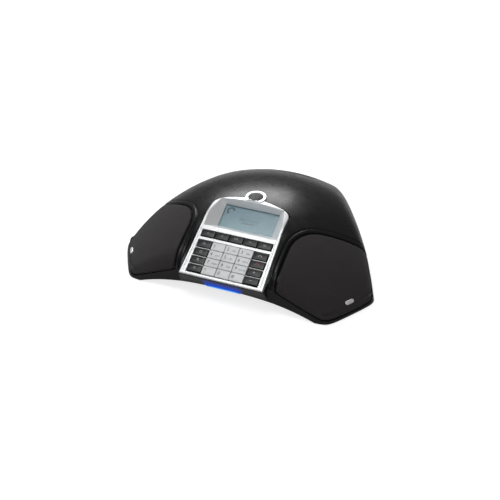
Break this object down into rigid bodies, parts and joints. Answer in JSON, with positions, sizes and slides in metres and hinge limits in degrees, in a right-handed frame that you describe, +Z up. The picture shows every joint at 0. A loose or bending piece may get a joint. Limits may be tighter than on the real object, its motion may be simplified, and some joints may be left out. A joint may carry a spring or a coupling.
{
  "type": "desk conference phone",
  "caption": "Low three-legged dome conference phone with a sloping keypad, a recessed display, a crown microphone and cloth-covered loudspeakers in its legs",
  "frame": {"origin": "Centre of the footprint on the table plane, which the rubber feet touch", "axes": "+Z up; the key field and display face -Y; +X is to the right of a person who faces the keys"},
  "size_m": [0.236, 0.2138, 0.0664],
  "materials": {
    "case_black": "semi-gloss moulded plastic with a fine grain",
    "base_black": "matte moulded plastic",
    "silver_bezel": "satin silver paint",
    "clear_window": "clear polished acrylic",
    "display_glass": "blue-grey liquid crystal panel",
    "white_diffuser": "white diffuser",
    "dark_plastic": "matte dark plastic",
    "keymat_rubber": "matte silicone rubber",
    "black_keys": "satin black key caps",
    "silver_keys": "satin light grey key caps",
    "grey_mesh": "fine dark grey acoustic mesh",
    "black_rubber": "matte rubber",
    "steel_parts": "plain steel",
    "blue_light": "frosted light bar lit blue",
    "green_board": "solder-masked circuit board",
    "amber_film": "polyimide film",
    "charcoal_cloth": "tightly stretched speaker cloth",
    "badge_chrome": "satin bright metal",
    "speaker_paper": "coated paper cone",
    "socket_steel": "tinned steel",
    "screw_steel": "zinc plated steel"
  },
  "bodies": {
    "phone": {"top_shell": "case_black", "bottom_shell": "base_black", "bezel": "silver_bezel", "display_window": "clear_window", "display_module": "display_glass", "display_backlight": "white_diffuser", "display_carrier": "dark_plastic", "keymat": "keymat_rubber", "bay_front": "base_black", "bay_right": "base_black", "bay_left": "base_black", "mic_grille": "grey_mesh", "mic_boot": "black_rubber", "mic_capsule": "steel_parts", "status_lights": "blue_light", "keypad_board": "green_board", "main_board": "green_board", "ribbon_cables": "amber_film", "grille_front_left": "charcoal_cloth", "grille_front_right": "charcoal_cloth", "grille_rear": "charcoal_cloth", "leg_badges": "badge_chrome", "speaker_frames": "dark_plastic", "speaker_cones": "speaker_paper", "speaker_magnets": "steel_parts", "lan_jack": "socket_steel", "power_jack": "dark_plastic", "usb_socket": "socket_steel", "aux_socket": "dark_plastic", "mic_sockets": "dark_plastic", "card_socket": "socket_steel", "rubber_feet": "black_rubber", "case_screws": "screw_steel", "board_screws": "screw_steel", "speaker_screws": "screw_steel"},
    "nav_key_1_body": {"nav_key_1": "black_keys"},
    "nav_key_2_body": {"nav_key_2": "black_keys"},
    "nav_key_3_body": {"nav_key_3": "black_keys"},
    "nav_key_4_body": {"nav_key_4": "black_keys"},
    "nav_key_5_body": {"nav_key_5": "black_keys"},
    "left_key_1_body": {"left_key_1": "black_keys"},
    "left_key_2_body": {"left_key_2": "black_keys"},
    "left_key_3_body": {"left_key_3": "black_keys"},
    "left_key_4_body": {"left_key_4": "black_keys"},
    "right_key_1_body": {"right_key_1": "black_keys"},
    "right_key_2_body": {"right_key_2": "black_keys"},
    "right_key_3_body": {"right_key_3": "black_keys"},
    "right_key_4_body": {"right_key_4": "black_keys"},
    "number_key_1_body": {"number_key_1": "silver_keys"},
    "number_key_2_body": {"number_key_2": "silver_keys"},
    "number_key_3_body": {"number_key_3": "silver_keys"},
    "number_key_4_body": {"number_key_4": "silver_keys"},
    "number_key_5_body": {"number_key_5": "silver_keys"},
    "number_key_6_body": {"number_key_6": "silver_keys"},
    "number_key_7_body": {"number_key_7": "silver_keys"},
    "number_key_8_body": {"number_key_8": "silver_keys"},
    "number_key_9_body": {"number_key_9": "silver_keys"},
    "number_key_star_body": {"number_key_star": "silver_keys"},
    "number_key_0_body": {"number_key_0": "silver_keys"},
    "number_key_hash_body": {"number_key_hash": "silver_keys"}
  },
  "joints": [
    {"name": "nav_key_1_press", "type": "slide", "parent": "phone", "child": "nav_key_1_body", "axis": [0, 0.5, -0.866], "range_m": [0, 0.0007], "stiffness_N_per_m": 250, "springref_m": -0.0003},
    {"name": "nav_key_2_press", "type": "slide", "parent": "phone", "child": "nav_key_2_body", "axis": [0, 0.5, -0.866], "range_m": [0, 0.0007], "stiffness_N_per_m": 250, "springref_m": -0.0003},
    {"name": "nav_key_3_press", "type": "slide", "parent": "phone", "child": "nav_key_3_body", "axis": [0, 0.5, -0.866], "range_m": [0, 0.0007], "stiffness_N_per_m": 250, "springref_m": -0.0003},
    {"name": "nav_key_4_press", "type": "slide", "parent": "phone", "child": "nav_key_4_body", "axis": [0, 0.5, -0.866], "range_m": [0, 0.0007], "stiffness_N_per_m": 250, "springref_m": -0.0003},
    {"name": "nav_key_5_press", "type": "slide", "parent": "phone", "child": "nav_key_5_body", "axis": [0, 0.5, -0.866], "range_m": [0, 0.0007], "stiffness_N_per_m": 250, "springref_m": -0.0003},
    {"name": "left_key_1_press", "type": "slide", "parent": "phone", "child": "left_key_1_body", "axis": [0, 0.5, -0.866], "range_m": [0, 0.0007], "stiffness_N_per_m": 250, "springref_m": -0.0003},
    {"name": "left_key_2_press", "type": "slide", "parent": "phone", "child": "left_key_2_body", "axis": [0, 0.5, -0.866], "range_m": [0, 0.0007], "stiffness_N_per_m": 250, "springref_m": -0.0003},
    {"name": "left_key_3_press", "type": "slide", "parent": "phone", "child": "left_key_3_body", "axis": [0, 0.5, -0.866], "range_m": [0, 0.0007], "stiffness_N_per_m": 250, "springref_m": -0.0003},
    {"name": "left_key_4_press", "type": "slide", "parent": "phone", "child": "left_key_4_body", "axis": [0, 0.5, -0.866], "range_m": [0, 0.0007], "stiffness_N_per_m": 250, "springref_m": -0.0003},
    {"name": "right_key_1_press", "type": "slide", "parent": "phone", "child": "right_key_1_body", "axis": [0, 0.5, -0.866], "range_m": [0, 0.0007], "stiffness_N_per_m": 250, "springref_m": -0.0003},
    {"name": "right_key_2_press", "type": "slide", "parent": "phone", "child": "right_key_2_body", "axis": [0, 0.5, -0.866], "range_m": [0, 0.0007], "stiffness_N_per_m": 250, "springref_m": -0.0003},
    {"name": "right_key_3_press", "type": "slide", "parent": "phone", "child": "right_key_3_body", "axis": [0, 0.5, -0.866], "range_m": [0, 0.0007], "stiffness_N_per_m": 250, "springref_m": -0.0003},
    {"name": "right_key_4_press", "type": "slide", "parent": "phone", "child": "right_key_4_body", "axis": [0, 0.5, -0.866], "range_m": [0, 0.0007], "stiffness_N_per_m": 250, "springref_m": -0.0003},
    {"name": "number_key_1_press", "type": "slide", "parent": "phone", "child": "number_key_1_body", "axis": [0, 0.5, -0.866], "range_m": [0, 0.0007], "stiffness_N_per_m": 250, "springref_m": -0.0003},
    {"name": "number_key_2_press", "type": "slide", "parent": "phone", "child": "number_key_2_body", "axis": [0, 0.5, -0.866], "range_m": [0, 0.0007], "stiffness_N_per_m": 250, "springref_m": -0.0003},
    {"name": "number_key_3_press", "type": "slide", "parent": "phone", "child": "number_key_3_body", "axis": [0, 0.5, -0.866], "range_m": [0, 0.0007], "stiffness_N_per_m": 250, "springref_m": -0.0003},
    {"name": "number_key_4_press", "type": "slide", "parent": "phone", "child": "number_key_4_body", "axis": [0, 0.5, -0.866], "range_m": [0, 0.0007], "stiffness_N_per_m": 250, "springref_m": -0.0003},
    {"name": "number_key_5_press", "type": "slide", "parent": "phone", "child": "number_key_5_body", "axis": [0, 0.5, -0.866], "range_m": [0, 0.0007], "stiffness_N_per_m": 250, "springref_m": -0.0003},
    {"name": "number_key_6_press", "type": "slide", "parent": "phone", "child": "number_key_6_body", "axis": [0, 0.5, -0.866], "range_m": [0, 0.0007], "stiffness_N_per_m": 250, "springref_m": -0.0003},
    {"name": "number_key_7_press", "type": "slide", "parent": "phone", "child": "number_key_7_body", "axis": [0, 0.5, -0.866], "range_m": [0, 0.0007], "stiffness_N_per_m": 250, "springref_m": -0.0003},
    {"name": "number_key_8_press", "type": "slide", "parent": "phone", "child": "number_key_8_body", "axis": [0, 0.5, -0.866], "range_m": [0, 0.0007], "stiffness_N_per_m": 250, "springref_m": -0.0003},
    {"name": "number_key_9_press", "type": "slide", "parent": "phone", "child": "number_key_9_body", "axis": [0, 0.5, -0.866], "range_m": [0, 0.0007], "stiffness_N_per_m": 250, "springref_m": -0.0003},
    {"name": "number_key_star_press", "type": "slide", "parent": "phone", "child": "number_key_star_body", "axis": [0, 0.5, -0.866], "range_m": [0, 0.0007], "stiffness_N_per_m": 250, "springref_m": -0.0003},
    {"name": "number_key_0_press", "type": "slide", "parent": "phone", "child": "number_key_0_body", "axis": [0, 0.5, -0.866], "range_m": [0, 0.0007], "stiffness_N_per_m": 250, "springref_m": -0.0003},
    {"name": "number_key_hash_press", "type": "slide", "parent": "phone", "child": "number_key_hash_body", "axis": [0, 0.5, -0.866], "range_m": [0, 0.0007], "stiffness_N_per_m": 250, "springref_m": -0.0003}
  ]
}
